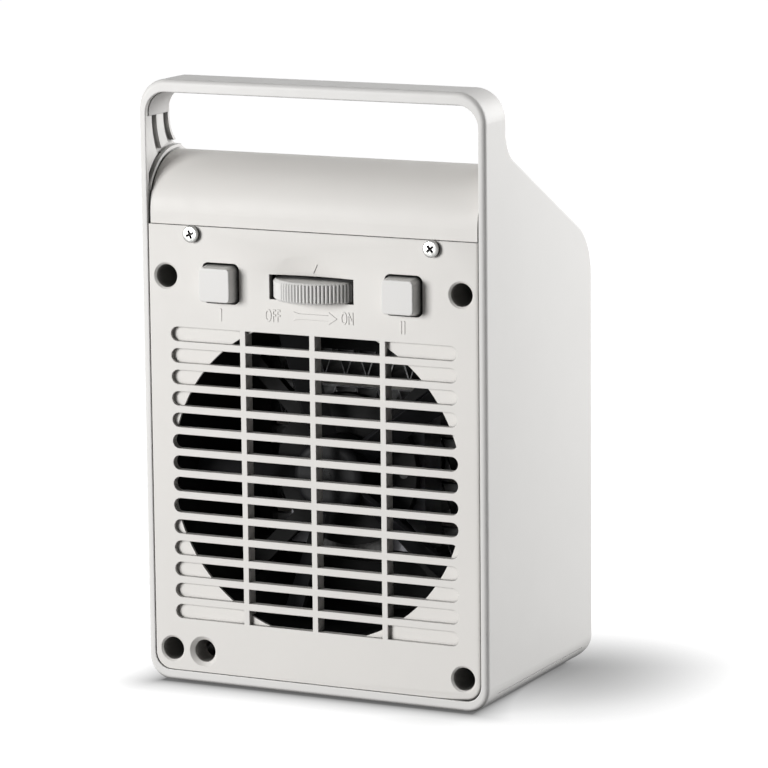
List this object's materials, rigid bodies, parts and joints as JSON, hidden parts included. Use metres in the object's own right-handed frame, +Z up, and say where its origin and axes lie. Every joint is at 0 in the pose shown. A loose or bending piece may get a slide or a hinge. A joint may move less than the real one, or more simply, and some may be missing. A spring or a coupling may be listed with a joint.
{
  "type": "ceramic space heater",
  "caption": "Upright fan heater with carrying handle, slanted front, rear intake grille, push buttons and a thermostat thumbwheel.",
  "frame": {"origin": "floor centre of the heater's bounding box, thumbwheel included", "axes": "+Z up from the floor, +Y out of the rear with grille and controls, -Y out of the outlet, +X to the left as seen from the rear"},
  "size_m": [0.156, 0.1158, 0.2535],
  "materials": {
    "shell_plastic": "satin moulded, warm off-white",
    "cover_plastic": "satin moulded, warm off-white",
    "control_plastic": "satin moulded, warm off-white",
    "screw_zinc": "bright zinc plate",
    "foot_rubber": "matt black",
    "inner_plastic": "matt black",
    "fan_plastic": "matt black",
    "sheet_steel": "plain zinc-plated sheet",
    "core_steel": "oiled laminations",
    "coil_tape": "varnished yellow tape",
    "bush_bronze": "sintered",
    "heater_aluminium": "plain sheet",
    "heater_ceramic": "matt grey"
  },
  "bodies": {
    "housing": {"outer_shell": "shell_plastic", "handle_liner": "shell_plastic", "rear_cover": "cover_plastic", "top_cover": "cover_plastic", "front_grille": "cover_plastic", "cover_screws": "screw_zinc", "corner_screws": "screw_zinc", "bracket_screws": "screw_zinc", "duct_screws": "screw_zinc", "heater_screws": "screw_zinc", "motor_screws": "screw_zinc", "rubber_feet": "foot_rubber", "switch_body_1": "inner_plastic", "switch_body_2": "inner_plastic", "thermostat_body": "inner_plastic", "fan_duct": "inner_plastic", "heater_frame": "inner_plastic", "terminal_block": "inner_plastic", "thermostat_bracket": "sheet_steel", "rear_bearing_bracket": "sheet_steel", "front_bearing_bracket": "sheet_steel", "thermal_cutout": "sheet_steel", "thermal_fuse": "sheet_steel", "motor_stator": "core_steel", "motor_coil": "coil_tape", "bearing_bushes": "bush_bronze", "heater_fins": "heater_aluminium", "electrode_plates": "heater_aluminium", "ceramic_strips": "heater_ceramic"},
    "button_1": {"power_button_1": "control_plastic"},
    "button_2": {"power_button_2": "control_plastic"},
    "thermostat_dial": {"thermostat_wheel": "control_plastic", "thermostat_shaft": "sheet_steel"},
    "fan_rotor": {"fan_impeller": "fan_plastic", "motor_shaft": "sheet_steel", "motor_rotor": "core_steel"}
  },
  "joints": [
    {"name": "button_1_press", "type": "slide", "parent": "housing", "child": "button_1", "axis": [0, -1, 0], "range_m": [0, 0.003], "stiffness_N_per_m": 400, "springref_m": -0.001},
    {"name": "button_2_press", "type": "slide", "parent": "housing", "child": "button_2", "axis": [0, -1, 0], "range_m": [0, 0.003], "stiffness_N_per_m": 400, "springref_m": -0.001},
    {"name": "thermostat_turn", "type": "hinge", "parent": "housing", "child": "thermostat_dial", "pos_m": [0, 0.0379, 0.17005], "axis": [0, 0, 1], "range_deg": [0, 270]},
    {"name": "fan_spin", "type": "hinge", "parent": "housing", "child": "fan_rotor", "pos_m": [0, 0, 0.0909], "axis": [0, 1, 0], "continuous": true}
  ]
}
